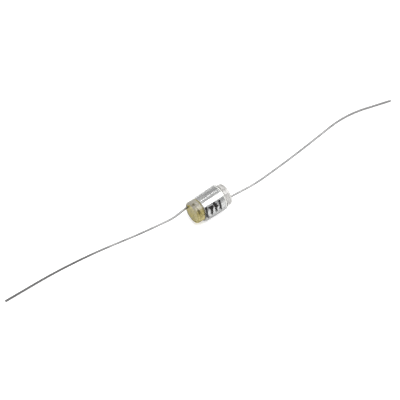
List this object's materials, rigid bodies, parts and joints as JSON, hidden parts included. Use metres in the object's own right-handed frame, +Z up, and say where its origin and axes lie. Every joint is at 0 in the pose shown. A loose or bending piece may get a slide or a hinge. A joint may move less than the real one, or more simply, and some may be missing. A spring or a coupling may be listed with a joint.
{
  "type": "film capacitor",
  "caption": "Axial wound polystyrene film capacitor with a yellow end and a clear end, lying on its side with its bent wire leads",
  "frame": {"origin": "middle of the part's footprint, on the plane it lies on", "axes": "+X along the body from the yellow end to the clear end, +Z up, +Y to the side on which the leads touch down"},
  "size_m": [0.1045, 0.0098, 0.0063],
  "materials": {
    "clear_film": "gloss",
    "clear_polystyrene": "gloss",
    "yellow_polystyrene": "gloss",
    "foil": "polished",
    "tinned_wire": "satin",
    "printing_ink": "satin"
  },
  "bodies": {
    "root": {"outer_sleeve": "clear_film", "yellow_end_seal": "yellow_polystyrene", "clear_end_seal": "clear_polystyrene", "dielectric_film_a": "clear_film", "outer_foil": "foil", "dielectric_film_b": "clear_film", "inner_foil": "foil", "yellow_end_lead": "tinned_wire", "clear_end_lead": "tinned_wire"}
  },
  "joints": []
}
